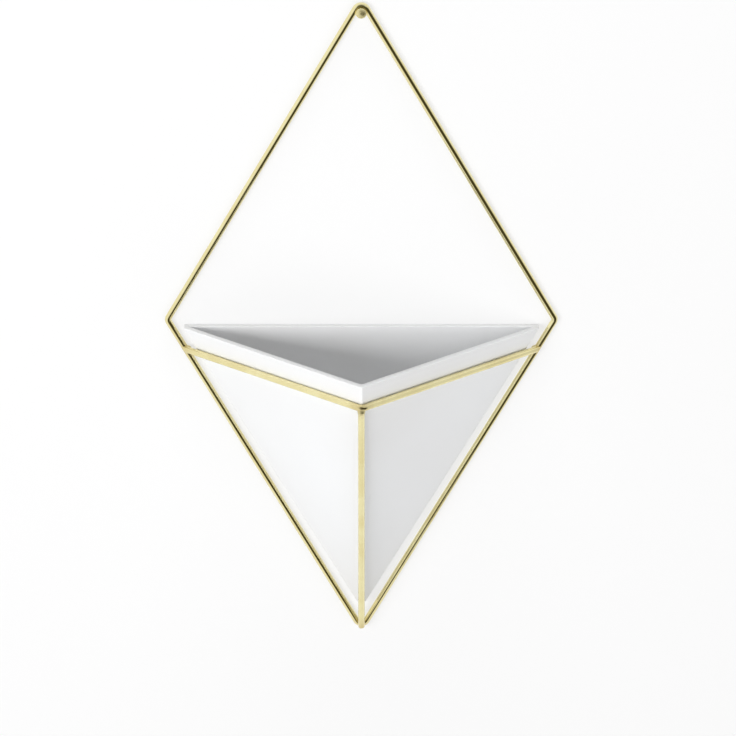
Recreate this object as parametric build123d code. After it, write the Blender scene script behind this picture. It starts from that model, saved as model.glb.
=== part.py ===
from build123d import *
from math import atan, cos, hypot, sin, sqrt
import os

# Hanging wall vase: a diamond of bent wire on one wall pin, with a V-shaped front rail and a spine that
# cradle a thin-walled vessel, half of an upturned pyramid.
# X is right, Y goes into the wall and Z is up. The wall's surface is at y = 0.
# The origin is on the pin's axis, where the pin enters the wall.

# Driving dimensions in millimetres
wire_diameter = 4.0
frame_half_width = 117.5      # from the middle to where the axes of two legs would cross
frame_rise = 202.5            # from the side corners up to where the upper legs' axes would cross
frame_drop = 205.5            # the same, down to the lower legs'
side_bend_radius = 3.0        # the bends are measured to the wire's axis
bottom_bend_radius = 3.6
rail_bend_radius = 3.6

pin_neck_diameter = 3.4
pin_shank_diameter = 2.8
pin_head_diameter = 6.3
pin_head_edge = 0.9           # the head's straight edge, below its dome
pin_head_dome = 1.3
pin_head_gap = 0.6            # between the wire and the underside of the head
pin_depth_in_wall = 25.0
pin_point_length = 5.0
hook_clearance = 0.1          # between the pin's neck and the bend that hangs on it

rail_drop = 18.7              # the rail's axis below the frame's side corners
rail_reach = 100.3            # from the wall to where the axes of the rail's legs would cross
rail_standoff = 1.5           # the rail's axis in front of the frame's axis where they cross
rail_end_cover = 6.0          # how far it runs on past that crossing before its ends are ground off
rail_end_setback = 1.0        # from the outer edge of the frame's legs in to the ground ends
spine_foot_cover = 0.4        # how far the spine runs on past the axis of the frame's lowest bend
spine_set_down = 0.3          # how deep its weld presses the spine's foot into the frame
rail_weld_proud = 0.3         # how far the bead stands out round the wires that it joins
rail_weld_inset = 1.6         # how far the bead's middle lies inside the crossing
corner_weld_proud = 0.3
corner_weld_drop = 2.2        # from the spine's top down its axis
corner_weld_lead = 1.0        # from the spine's axis forwards
foot_weld_proud = 0.3
foot_weld_rise = 0.8          # above the middle of the joint

vessel_wall = 3.8
vessel_rim_drop = 3.7         # the rim below the frame's side corners
vessel_rim_half_width = 107.85
vessel_height = 185.9         # from the rim down to where the side edges would meet
vessel_wall_gap = 0.5         # between the vessel's back and the wall
vessel_rail_gap = 0.35        # between the vessel's front faces and the rail
vessel_spine_gap = 0.35       # between the vessel's ridge and the top of the spine
vessel_ridge_round = 1.5      # the two side edges have the same
vessel_back_round = 1.0
vessel_rim_round = 0.5
vessel_tip_rise = 5.0         # how much of the sharp tip is missing
vessel_floor_half_width = 4.5
vessel_inside_ridge_round = 2.0

cut_overrun = 5.0
middle_share = 0.5            # half-way along an edge
climb_share = 0.5             # an edge climbs when it rises by more than this share of its length

# Frame sizes that follow
wire_radius = wire_diameter / 2
neck_radius = pin_neck_diameter / 2
shank_radius = pin_shank_diameter / 2
upper_leg_angle = atan(frame_half_width / frame_rise)        # from the vertical
lower_leg_angle = atan(frame_half_width / frame_drop)
lower_leg_slope = frame_drop / frame_half_width              # downwards for each length sideways
top_bend_radius = neck_radius + hook_clearance + wire_radius

frame_top = top_bend_radius / sin(upper_leg_angle)
corner_height = frame_top - frame_rise
frame_bottom = corner_height - frame_drop
frame_depth = -wire_radius
bottom_bend_height = frame_bottom + bottom_bend_radius * (1 / sin(lower_leg_angle) - 1)

# Rail sizes that follow. A slope here is a length forwards for each length sideways or upwards.
rail_height = corner_height - rail_drop
rail_crossing = (frame_drop - rail_drop) / lower_leg_slope
rail_crossing_depth = frame_depth - rail_standoff
rail_slope = (rail_reach + rail_crossing_depth) / rail_crossing
rail_stretch = hypot(1, rail_slope)

# Vessel sizes that follow. Its front faces lie parallel to the rail's legs.
vessel_edge_slope = vessel_height / vessel_rim_half_width     # downwards for each length sideways
face_tilt = atan(rail_slope / (vessel_edge_slope * rail_stretch))    # from the vertical
ridge_angle = atan(rail_slope / vessel_edge_slope)
rim_height = corner_height - vessel_rim_drop
apex_height = rim_height - vessel_height
tip_height = apex_height + vessel_tip_rise


def vessel_half_width(height):
    return (height - apex_height) / vessel_edge_slope


rail_seat_reach = (wire_radius + vessel_rail_gap) * rail_stretch / cos(face_tilt)
vessel_side_depth = rail_reach - rail_seat_reach - vessel_half_width(rail_height) * rail_slope


def vessel_ridge_depth(height):
    return vessel_side_depth + vessel_half_width(height) * rail_slope


# Spine sizes that follow. Its axis starts in front of the rounded ridge and ends on the lowest bend.
ridge_normal_share = cos(face_tilt) * rail_slope / rail_stretch
ridge_setback = vessel_ridge_round * (1 / sqrt(1 - ridge_normal_share ** 2) - 1)
spine_lead = (wire_radius + vessel_spine_gap - ridge_setback) / cos(ridge_angle)
spine_top = Vector(0, -(vessel_ridge_depth(rail_height) + spine_lead), rail_height)
spine_foot_lap = (wire_diameter - spine_set_down) / cos(ridge_angle)
spine_foot = Vector(0, frame_depth - spine_foot_lap, bottom_bend_height)
spine_direction = (spine_foot - spine_top).normalized()
spine_front = Vector(0, spine_direction.Z, -spine_direction.Y)   # square to the spine, away from the vessel


def bent_wire(corners, radii, close):
    """Round wire along straight runs joined by tangent bends."""
    path = FilletPolyline(*corners, radius=radii, close=close)
    section = Plane(origin=path @ 0, z_dir=path % 0) * Circle(wire_radius)
    return sweep(section, path=path)


def diamond_frame():
    """The diamond against the wall. Its top bend is round the pin's neck."""
    corners = [
        (0, frame_depth, frame_top),
        (frame_half_width, frame_depth, corner_height),
        (0, frame_depth, frame_bottom),
        (-frame_half_width, frame_depth, corner_height),
    ]
    radii = [top_bend_radius, side_bend_radius, bottom_bend_radius, side_bend_radius]
    return bent_wire(corners, radii, close=True)


def space_between_lower_legs():
    """All that the ground ends of the rail leave: from leg to leg and from the frame's axis forwards."""
    ground_to = wire_radius - rail_end_setback
    half_width = frame_half_width + ground_to / cos(lower_leg_angle)
    drop = frame_drop + ground_to / sin(lower_leg_angle)
    outline = Polygon((half_width, 0), (-half_width, 0), (0, -drop), align=None)
    front = Plane(origin=(0, frame_depth, corner_height), x_dir=(1, 0, 0), z_dir=(0, -1, 0))
    return extrude(front * outline, amount=rail_reach)


def front_rail():
    """One wire bent in the middle, its ends ground off parallel to the frame's lower legs."""
    end_x = rail_crossing + rail_end_cover
    end_y = rail_crossing_depth + rail_end_cover * rail_slope
    corners = [(-end_x, end_y, rail_height), (0, -rail_reach, rail_height), (end_x, end_y, rail_height)]
    return bent_wire(corners, [rail_bend_radius], close=False) & space_between_lower_legs()


def spine_rod():
    """Straight wire in front of the vessel's ridge, from the rail's bend to the frame's lowest bend."""
    length = (spine_foot - spine_top).length + spine_foot_cover
    section = Plane(origin=spine_top, z_dir=spine_direction) * Circle(wire_radius)
    return extrude(section, amount=length)


def weld_bead(middle, proud):
    return Pos(middle) * Sphere(wire_radius + proud)


def rail_end_bead():
    """The right-hand one, between the two axes and a little inside the crossing."""
    rail_y = rail_crossing_depth - rail_weld_inset * rail_slope
    middle = Vector(rail_crossing - rail_weld_inset, (frame_depth + rail_y) / 2, rail_height)
    return weld_bead(middle, rail_weld_proud)


def rail_corner_bead():
    """In the angle below the rail's bend, in front of the spine."""
    middle = spine_top + spine_direction * corner_weld_drop + spine_front * corner_weld_lead
    return weld_bead(middle, corner_weld_proud)


def spine_foot_bead():
    middle = Vector(0, (frame_depth + spine_foot.Y) / 2, bottom_bend_height + foot_weld_rise)
    return weld_bead(middle, foot_weld_proud)


def outside_corners(height):
    """Corners of a level section: the ridge, then the front and back corners of each side."""
    half_width = vessel_half_width(height)
    ridge = (0, -vessel_ridge_depth(height), height)
    right = [(half_width, -vessel_side_depth, height), (half_width, -vessel_wall_gap, height)]
    left = [(-half_width, -vessel_side_depth, height), (-half_width, -vessel_wall_gap, height)]
    return [ridge] + right + left


def hollow_corners(height):
    """The hollow's section is a triangle, one wall inside the front faces and the back."""
    front_wall = vessel_wall / cos(face_tilt) * rail_stretch
    ridge = vessel_ridge_depth(height) - front_wall
    back = vessel_wall_gap + vessel_wall
    half_width = (ridge - back) / rail_slope
    return [(0, -ridge, height), (half_width, -back, height), (-half_width, -back, height)]


def climbing_edges(solid):
    """The edges between the tip and the rim, from the ridge at the front to the back."""
    climbing = solid.edges().filter_by(lambda edge: abs((edge % middle_share).Z) > climb_share)
    return climbing.sort_by(lambda edge: (edge @ middle_share).Y)


def rim_edges(solid):
    return solid.edges().group_by(lambda edge: abs((edge @ middle_share).Z - rim_height))[0]


def vessel_outside():
    solid = ConvexPolyhedron(outside_corners(tip_height) + outside_corners(rim_height))
    solid = fillet(climbing_edges(solid)[:3], vessel_ridge_round)
    return fillet(climbing_edges(solid)[-2:], vessel_back_round)


def vessel_inside():
    """The hollow, down to a small floor above the solid tip."""
    floor_shrink = hollow_corners(rim_height)[1][0] - vessel_floor_half_width
    floor_height = rim_height - floor_shrink * vessel_edge_slope
    solid = ConvexPolyhedron(hollow_corners(floor_height) + hollow_corners(rim_height + cut_overrun))
    return fillet(climbing_edges(solid)[:1], vessel_inside_ridge_round)


def vessel():
    solid = vessel_outside() - vessel_inside()
    return fillet(rim_edges(solid), vessel_rim_round)


def wall_pin():
    """Turned pin: domed head, neck for the frame's bend, thinner pointed shank in the wall."""
    under_head = -(wire_diameter + pin_head_gap)
    head_shoulder = under_head - pin_head_edge
    head_radius = pin_head_diameter / 2
    dome_top = (0, head_shoulder - pin_head_dome)
    dome = TangentArc(dome_top, (head_radius, head_shoulder), tangent=(1, 0))
    rest = Polyline(
        (head_radius, head_shoulder),
        (head_radius, under_head),
        (neck_radius, under_head),
        (neck_radius, 0),
        (shank_radius, 0),
        (shank_radius, pin_depth_in_wall - pin_point_length),
        (0, pin_depth_in_wall),
        dome_top,
    )
    return revolve(make_face([dome, rest]), axis=Axis.Y)


def all_pieces():
    frame = diamond_frame()
    rail = front_rail() - frame
    spine = spine_rod() - frame - rail
    rail_end_weld = rail_end_bead() - frame - rail
    return {
        "diamond_frame": frame,
        "front_rail": rail,
        "spine_rod": spine,
        "rail_weld_right": rail_end_weld,
        "rail_weld_left": mirror(rail_end_weld, about=Plane.YZ),
        "corner_weld": rail_corner_bead() - rail - spine,
        "bottom_weld": spine_foot_bead() - frame - spine,
        "vessel": vessel(),
        "wall_pin": wall_pin(),
    }


pieces = all_pieces()
os.makedirs("parts", exist_ok=True)
for node, solid in pieces.items():
    export_step(solid, f"parts/{node}.step")
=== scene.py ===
import bpy
import math
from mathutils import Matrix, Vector


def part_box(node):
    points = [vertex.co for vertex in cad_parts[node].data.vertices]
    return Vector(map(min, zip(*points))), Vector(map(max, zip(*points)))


# Hanging wall vase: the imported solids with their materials, on a pale wall in soft light.
# X is right, Y goes into the wall and Z is up, in metres. The frame's back lies on y = 0.
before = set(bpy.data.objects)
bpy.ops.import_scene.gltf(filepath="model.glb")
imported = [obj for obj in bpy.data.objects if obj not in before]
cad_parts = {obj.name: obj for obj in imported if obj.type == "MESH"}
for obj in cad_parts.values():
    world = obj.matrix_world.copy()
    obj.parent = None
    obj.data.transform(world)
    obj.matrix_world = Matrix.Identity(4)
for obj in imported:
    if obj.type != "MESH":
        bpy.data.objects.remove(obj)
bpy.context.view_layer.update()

# Places that the materials and the camera need
rail_low, rail_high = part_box("front_rail")
RAIL_Z = (rail_low[2] + rail_high[2]) / 2
RAIL_DROP = 0.0187               # from the frame's side corners down to the rail
CORNER_Z = RAIL_Z + RAIL_DROP    # height of the side corners
RAIL_SLOPE = 0.9063              # how far the rail comes forward for each length sideways
LEG_ANGLE = math.radians(29.94)  # from upright, the mean of the upper and the lower legs
SPINE_TOP = Vector((0, -0.09907, RAIL_Z))
SPINE_FOOT = Vector((0, -0.00618, -0.396776))
CROSSING_X, CROSSING_Y = 0.1068, -0.003   # where the rail laps the right lower leg
WELD_PLACES = [
    (CROSSING_X, CROSSING_Y, RAIL_Z),
    (-CROSSING_X, CROSSING_Y, RAIL_Z),
    tuple(SPINE_TOP),
    tuple(SPINE_FOOT),
]

# Directions of the fine lines in the metal
ALONG_LEG = (-math.sin(LEG_ANGLE), 0, math.cos(LEG_ANGLE))
ALONG_RAIL = (1, RAIL_SLOPE, 0)
ALONG_SPINE = SPINE_FOOT - SPINE_TOP
UPRIGHT = (0, 0, 1)
INTO_WALL = (0, 1, 0)

WHITE = (1, 1, 1, 1)
BLACK = (0, 0, 0, 1)


def srgb(red, green, blue):
    """The linear colour of 8-bit display values."""
    def linear(value):
        share = value / 255
        return share / 12.92 if share <= 0.04045 else ((share + 0.055) / 1.055) ** 2.4
    return (linear(red), linear(green), linear(blue), 1.0)


# Nodes
MIX_SHARE, MIX_FIRST, MIX_SECOND, MIX_COLOUR = 0, 6, 7, 2   # a Mix node's sockets for colours


class Tree:
    """The node tree of a material or a world. Each method adds nodes, and most return an output."""

    def __init__(self, owner):
        owner.use_nodes = True
        self.nodes = owner.node_tree.nodes
        self.links = owner.node_tree.links
        self.nodes.clear()

    def node(self, kind, inputs=None, **settings):
        made = self.nodes.new(kind)
        for key, value in settings.items():
            setattr(made, key, value)
        for key, value in (inputs or {}).items():
            if isinstance(value, bpy.types.NodeSocket):
                self.links.new(value, made.inputs[key])
            else:
                made.inputs[key].default_value = value
        return made

    def shader(self, kind, inputs=None):
        return self.node(kind, inputs).outputs[0]

    def math(self, operation, first, second=0.0):
        return self.node("ShaderNodeMath", {0: first, 1: second}, operation=operation).outputs[0]

    def length(self, first, second):
        """The length of a line that goes this far along two axes."""
        squares = [self.math("MULTIPLY", side, side) for side in (first, second)]
        return self.math("SQRT", self.math("ADD", *squares))

    def position(self):
        return self.node("ShaderNodeTexCoord").outputs["Object"]

    def split(self, vector):
        return self.node("ShaderNodeSeparateXYZ", {0: vector}).outputs

    def join(self, x, y, z):
        return self.node("ShaderNodeCombineXYZ", {0: x, 1: y, 2: z}).outputs[0]

    def vector_math(self, operation, first, second):
        made = self.node("ShaderNodeVectorMath", {0: first, 1: second}, operation=operation)
        return made.outputs["Value"]

    def noise(self, vector, scale, detail=2.0, roughness=0.5, distortion=0.0):
        return self.node("ShaderNodeTexNoise", {
            "Vector": vector, "Scale": scale, "Detail": detail, "Roughness": roughness,
            "Distortion": distortion,
        }).outputs[0]

    def ramp(self, value, low, high, to_low=0.0, to_high=1.0, interpolation="LINEAR"):
        """to_low up to the low value, to_high from the high value on."""
        return self.node("ShaderNodeMapRange", {
            "Value": value, "From Min": low, "From Max": high, "To Min": to_low, "To Max": to_high,
        }, clamp=True, interpolation_type=interpolation).outputs[0]

    def smooth_ramp(self, value, low, high, to_low, to_high):
        return self.ramp(value, low, high, to_low, to_high, "SMOOTHSTEP")

    def mix(self, share, first, second):
        inputs = {MIX_SHARE: share, MIX_FIRST: first, MIX_SECOND: second}
        return self.node("ShaderNodeMix", inputs, data_type="RGBA").outputs[MIX_COLOUR]

    def bump(self, height, strength, distance, normal=None):
        inputs = {"Height": height, "Strength": strength, "Distance": distance}
        if normal is not None:
            inputs["Normal"] = normal
        return self.node("ShaderNodeBump", inputs).outputs[0]

    def near(self, vector, place, radius):
        """1 at a place, falling to 0 at the radius."""
        return self.ramp(self.vector_math("DISTANCE", vector, place), 0.0, radius, 1.0, 0.0)


def new_material(name):
    material = bpy.data.materials.new(name)
    return material, Tree(material)


# Brass: the sizes of its marks, in noise cells or in radians of a wave for each metre
LINES_ALONG = 22.0
LINES_ACROSS = 2600.0
CLOUD_SCALE = 55.0
SMEAR_SCALE = 16.0
PIT_SCALE = 2400.0
WOBBLE_SCALE = 320.0
RIPPLE_RATE = 5200.0     # a ripple each 1.2 mm
RING_RATE = 24000.0      # a ring each 0.26 mm
WOBBLE = 7.0             # how far noise shifts the ripples, in radians
RING_LEAD = 0.4          # how far the rings move in for each length into the wall
JOINT_SHADE_RADIUS = 0.009      # how far the painted shade reaches around each weld, where the parts meet

BRIGHT = (0.88, 0.81, 0.47)
DEEP = (0.79, 0.69, 0.35)
# The pits are specked with this brown, and it is also the painted shade laid around the welds, up to
# the share below.
PIT_AND_SHADE_BROWN = (0.55, 0.42, 0.2)
JOINT_SHADE_SHARE = 0.55
SPECK_SHARE = 0.35
NEARLY_PARALLEL = 0.01   # a cross product shorter than this gives no direction


def drawn_lines(tree, place, along, mirror_height):
    """Fine lines in a direction, mirrored about x = 0 and, for the diamond, about its side corners."""
    x, y, z = tree.split(place)
    height = tree.math("SUBTRACT", z, CORNER_Z)
    if mirror_height:
        height = tree.math("ABSOLUTE", height)
    folded = tree.join(tree.math("ABSOLUTE", x), y, height)
    direction = Vector(along).normalized()
    across = direction.cross(Vector(INTO_WALL))
    if across.length < NEARLY_PARALLEL:
        across = Vector((1, 0, 0))
    across.normalize()
    run, width, depth = (
        tree.vector_math("DOT_PRODUCT", folded, tuple(axis))
        for axis in (direction, across, direction.cross(across))
    )
    stretched = tree.join(
        tree.math("MULTIPLY", run, LINES_ALONG),
        tree.math("MULTIPLY", width, LINES_ACROSS),
        tree.math("MULTIPLY", depth, LINES_ACROSS),
    )
    return tree.noise(stretched, scale=1.0, detail=3.0, roughness=0.6)


def painted_joint_shade(tree, place, cloud):
    """Painted shade and reflection around the joints: strongest at the welds, falling unevenly to 0
    around them.
    """
    joint_shade = tree.near(place, WELD_PLACES[0], JOINT_SHADE_RADIUS)
    for spot in WELD_PLACES[1:]:
        joint_shade = tree.math("MAXIMUM", joint_shade, tree.near(place, spot, JOINT_SHADE_RADIUS))
    return tree.math("MULTIPLY", joint_shade, tree.ramp(cloud, 0.3, 0.7, to_low=0.55, to_high=1.0))


# The three kinds of relief. Each gives the surface's normal from the place and the drawn lines.
def line_relief(tree, place, lines):
    return tree.bump(lines, strength=0.06, distance=0.00004)


def ring_relief(tree, place, lines):
    """The rings that turning leaves about the y axis."""
    x, y, z = tree.split(place)
    run = tree.math("ADD", tree.length(x, z), tree.math("MULTIPLY", y, RING_LEAD))
    turned = tree.math("SINE", tree.math("MULTIPLY", run, RING_RATE))
    return tree.bump(turned, strength=0.10, distance=0.00003)


def ripple_relief(tree, place, lines):
    """The ripples of a cooled puddle of weld metal."""
    height = tree.split(place)["Z"]
    wobble = tree.math("MULTIPLY", tree.noise(place, WOBBLE_SCALE, detail=3.0, roughness=0.6), WOBBLE)
    ripple = tree.math("SINE", tree.math("ADD", tree.math("MULTIPLY", height, RIPPLE_RATE), wobble))
    return tree.bump(ripple, strength=0.35, distance=0.00012)


def brass(name, along, relief=line_relief, mirror_height=False, tone=1.0, rough=0.07):
    """Pale brass plating with fine lines, clouds, pits and painted shade that darkens it around the
    welds.

    tone scales its colours, and rough is its roughness before smears, lines and the painted weld shade
    change it.
    """
    material, tree = new_material(name)
    place = tree.position()
    bright, deep, pit_and_shade_brown = (
        tuple(tone * part for part in colour) + (1.0,)
        for colour in (BRIGHT, DEEP, PIT_AND_SHADE_BROWN)
    )
    lines = drawn_lines(tree, place, along, mirror_height)
    cloud = tree.noise(place, CLOUD_SCALE, detail=4.0, roughness=0.55, distortion=0.4)
    smear = tree.noise(place, SMEAR_SCALE)
    pits = tree.noise(place, PIT_SCALE, roughness=0.6)
    joint_shade = painted_joint_shade(tree, place, cloud)

    colour = tree.mix(tree.ramp(cloud, 0.35, 0.75), bright, deep)
    # Painted shade: darker towards the welds, standing in for the contact shadow and dark reflections
    # where the parts meet.
    colour = tree.mix(tree.math("MULTIPLY", joint_shade, JOINT_SHADE_SHARE), colour, pit_and_shade_brown)
    specks = tree.math("MULTIPLY", tree.ramp(pits, 0.68, 0.8), SPECK_SHARE)
    colour = tree.mix(specks, colour, pit_and_shade_brown)

    roughness = tree.ramp(smear, 0.3, 0.7, to_low=rough - 0.02, to_high=rough + 0.05)
    for mark, added in ((lines, 0.05), (joint_shade, 0.12)):
        roughness = tree.math("ADD", roughness, tree.math("MULTIPLY", mark, added))

    normal = relief(tree, place, lines)
    normal = tree.bump(pits, strength=0.06, distance=0.00003, normal=normal)
    tree.node("ShaderNodeOutputMaterial", {0: tree.shader("ShaderNodeBsdfPrincipled", {
        "Base Color": colour, "Metallic": 1.0, "Roughness": roughness, "Normal": normal, "IOR": 1.45,
    })})
    return material


# The vessel's resin
MOTTLE_SCALE = 9.0
GRAIN_SCALE = 1500.0
WAVE_SCALE = 42.0
DUST_FULL_Z = -0.375     # the dust is at its thickest up to here
DUST_END_Z = -0.33
DUST_SHARE = 0.35


def satin_white(name):
    """Moulded resin with a satin skin: faint mottle, a fine grain and a little dust towards the tip."""
    material, tree = new_material(name)
    place = tree.position()
    height = tree.split(place)["Z"]
    mottle = tree.noise(place, MOTTLE_SCALE, detail=4.0, distortion=0.3)
    grain = tree.noise(place, GRAIN_SCALE, roughness=0.6)
    wave = tree.noise(place, WAVE_SCALE)

    clean = srgb(243, 244, 245)
    warm = srgb(239, 239, 239)
    dusty = srgb(226, 223, 215)
    colour = tree.mix(tree.ramp(mottle, 0.3, 0.7), clean, warm)
    near_tip = tree.ramp(height, DUST_FULL_Z, DUST_END_Z, to_low=1.0, to_high=0.0)
    dust = tree.math("MULTIPLY", near_tip, tree.ramp(grain, 0.35, 0.7, to_low=0.3, to_high=1.0))
    colour = tree.mix(tree.math("MULTIPLY", dust, DUST_SHARE), colour, dusty)

    roughness = tree.ramp(mottle, 0.3, 0.7, to_low=0.36, to_high=0.46)
    normal = tree.bump(wave, strength=0.08, distance=0.0004)
    normal = tree.bump(grain, strength=0.10, distance=0.00006, normal=normal)
    tree.node("ShaderNodeOutputMaterial", {0: tree.shader("ShaderNodeBsdfPrincipled", {
        "Base Color": colour, "Roughness": roughness, "Normal": normal, "IOR": 1.48,
        "Specular IOR Level": 0.4,
    })})
    return material


def dress(node, material):
    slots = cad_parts[node].data.materials
    slots.clear()
    slots.append(material)


dress("diamond_frame", brass("brass_frame", ALONG_LEG, mirror_height=True))
dress("front_rail", brass("brass_rail", ALONG_RAIL))
dress("spine_rod", brass("brass_spine", ALONG_SPINE))
for node in ("rail_weld_left", "rail_weld_right", "corner_weld", "bottom_weld"):
    dress(node, brass("brass_" + node, UPRIGHT, relief=ripple_relief, tone=0.94, rough=0.36))
dress("wall_pin", brass("brass_pin", INTO_WALL, relief=ring_relief, rough=0.42))
dress("vessel", satin_white("satin_white"))

# Wall and floor
STAGE_HALF = 0.6         # half the stage's width
WALL_Y = 0.0004          # just behind the frame's back
WALL_TOP = 0.4
FLOOR_Z = -1.1
FLOOR_FRONT = -1.0
PAINT = (0.3, 0.3, 0.3, 1)
WALL_GLOW = 0.62
FLOOR_GLOW = 0.72
CLEAR_REACH = 0.004      # light starting this close to the stage passes through it
SOLID_REACH = 0.02       # and from here on none does


def stage_material(name, glow):
    """Pale paint. Seen from in front it glows a little; from behind it is clear and casts no shadow.

    Light also reaches the backs of things that lie close against it.
    """
    material, tree = new_material(name)
    paths = tree.node("ShaderNodeLightPath").outputs
    facing_away = tree.node("ShaderNodeNewGeometry").outputs["Backfacing"]
    seen = tree.math("MAXIMUM", paths["Is Camera Ray"], paths["Is Glossy Ray"])
    seen = tree.math("MAXIMUM", seen, paths["Is Transmission Ray"])
    light = tree.shader("ShaderNodeEmission", {"Color": WHITE, "Strength": glow})
    dark = tree.shader("ShaderNodeEmission", {"Color": BLACK, "Strength": 0.0})
    glowing = tree.shader("ShaderNodeMixShader", {0: seen, 1: dark, 2: light})
    paint = tree.shader("ShaderNodeBsdfDiffuse", {"Color": PAINT})
    front = tree.shader("ShaderNodeAddShader", {0: paint, 1: glowing})

    lighting = tree.math("MAXIMUM", paths["Is Diffuse Ray"], paths["Is Shadow Ray"])
    close = tree.ramp(paths["Ray Length"], CLEAR_REACH, SOLID_REACH, to_low=1.0, to_high=0.0)
    see_through = tree.math("MAXIMUM", facing_away, tree.math("MULTIPLY", lighting, close))
    clear = tree.shader("ShaderNodeBsdfTransparent")
    surface = tree.shader("ShaderNodeMixShader", {0: see_through, 1: front, 2: clear})
    tree.node("ShaderNodeOutputMaterial", {0: surface})
    return material


def panel(name, first_edge, second_edge, material):
    """A rectangle as wide as the stage, between two level edges that are each given by y and z."""
    mesh = bpy.data.meshes.new(name)
    corners = [
        (-STAGE_HALF, *first_edge),
        (STAGE_HALF, *first_edge),
        (STAGE_HALF, *second_edge),
        (-STAGE_HALF, *second_edge),
    ]
    mesh.from_pydata(corners, [], [list(range(len(corners)))])
    mesh.materials.append(material)
    made = bpy.data.objects.new(name, mesh)
    bpy.context.scene.collection.objects.link(made)


panel("wall", (WALL_Y, FLOOR_Z), (WALL_Y, WALL_TOP), stage_material("pale_paint", WALL_GLOW))
panel("floor", (FLOOR_FRONT, FLOOR_Z), (WALL_Y, FLOOR_Z), stage_material("pale_floor", FLOOR_GLOW))

# Lamps, all aimed at the vessel's rim
LAMP_AIM = Vector((0, -0.03, -0.2))


def lamp(name, place, width, height, watts):
    data = bpy.data.lights.new(name, "AREA")
    data.shape = "RECTANGLE"
    data.size = width
    data.size_y = height
    data.energy = watts
    made = bpy.data.objects.new(name, data)
    made.location = place
    made.rotation_euler = (LAMP_AIM - Vector(place)).to_track_quat("-Z", "Y").to_euler()
    made.visible_glossy = False
    bpy.context.scene.collection.objects.link(made)


lamp("key", (-1.1, -1.9, 0.0), width=1.4, height=0.8, watts=34.5)
lamp("fill", (1.5, -1.95, -0.7), width=1.6, height=1.6, watts=17.5)
lamp("top", (0, -0.24, 1.6), width=0.9, height=0.3, watts=15)

# World. As light it is even at the level and below, dim overhead and brighter behind the wall.
# Metal mirrors it as white with two dark areas in front. The camera sees plain white.
DARK = (0.07, 0.062, 0.02, 1)
world = bpy.data.worlds.new("studio")
bpy.context.scene.world = world
sky = Tree(world)
right, inward, up = sky.split(sky.node("ShaderNodeTexCoord").outputs["Generated"])


def dark_area(middle_x, middle_z, narrowing, inner, outer, share):
    """A round dark area in front, widened sideways where narrowing is below 1."""
    off_side = sky.math("MULTIPLY", sky.math("SUBTRACT", right, middle_x), narrowing)
    off_height = sky.math("SUBTRACT", up, middle_z)
    return sky.smooth_ramp(sky.length(off_side, off_height), inner, outer, share, 0.0)


overhead = sky.smooth_ramp(up, 0.0, 0.6, to_low=0.6, to_high=0.1)
behind = sky.smooth_ramp(inward, 0.2, 0.5, to_low=0.0, to_high=0.4)
low_right = dark_area(0.4, -0.2, narrowing=0.8, inner=0.42, outer=0.74, share=1.0)
ahead = dark_area(0.0, 0.36, narrowing=1.0, inner=0.25, outer=0.6, share=0.86)
in_front = sky.smooth_ramp(inward, -0.45, -0.2, to_low=1.0, to_high=0.0)
dark_share = sky.math("MULTIPLY", sky.math("MAXIMUM", low_right, ahead), in_front)
mirrored = sky.mix(dark_share, WHITE, DARK)
brighter_left = sky.smooth_ramp(right, -0.8, 0.8, to_low=0.98, to_high=0.76)

paths = sky.node("ShaderNodeLightPath").outputs
plain = sky.shader("ShaderNodeBackground", {0: WHITE, 1: sky.math("ADD", overhead, behind)})
shiny = sky.shader("ShaderNodeBackground", {0: mirrored, 1: brighter_left})
white = sky.shader("ShaderNodeBackground", {0: WHITE, 1: 1.0})
around = sky.shader("ShaderNodeMixShader", {0: paths["Is Glossy Ray"], 1: plain, 2: shiny})
surface = sky.shader("ShaderNodeMixShader", {0: paths["Is Camera Ray"], 1: around, 2: white})
sky.node("ShaderNodeOutputWorld", {0: surface})

# Camera: about three metres away and 21 degrees above the level
PICTURE = 736
FOCAL_PIXELS = 5065.0
DISTANCE = 3.07
ELEVATION = math.radians(21.0)
TARGET_RISE = 0.00276                # from the side corners' height up to the target
TARGET_X, TARGET_Y = 361.35, 313.8   # where the target lies in the picture, in pixels
target = Vector((0, 0, CORNER_Z + TARGET_RISE))
sideways = Vector((1, 0, 0))
forward = Vector((0, math.cos(ELEVATION), -math.sin(ELEVATION)))
upward = Vector((0, math.sin(ELEVATION), math.cos(ELEVATION)))
eye = target - forward * DISTANCE
half = PICTURE / 2
scale = DISTANCE / FOCAL_PIXELS
aim = target + sideways * (half - TARGET_X) * scale - upward * (half - TARGET_Y) * scale
camera_data = bpy.data.cameras.new("camera")
camera_data.sensor_width = 36.0
camera_data.lens = FOCAL_PIXELS / PICTURE * camera_data.sensor_width
camera_data.clip_end = 50.0
camera = bpy.data.objects.new("camera", camera_data)
camera.location = eye
camera.rotation_euler = (aim - eye).to_track_quat("-Z", "Y").to_euler()
bpy.context.scene.collection.objects.link(camera)
bpy.context.scene.camera = camera
bpy.context.scene.view_settings.view_transform = "Standard"
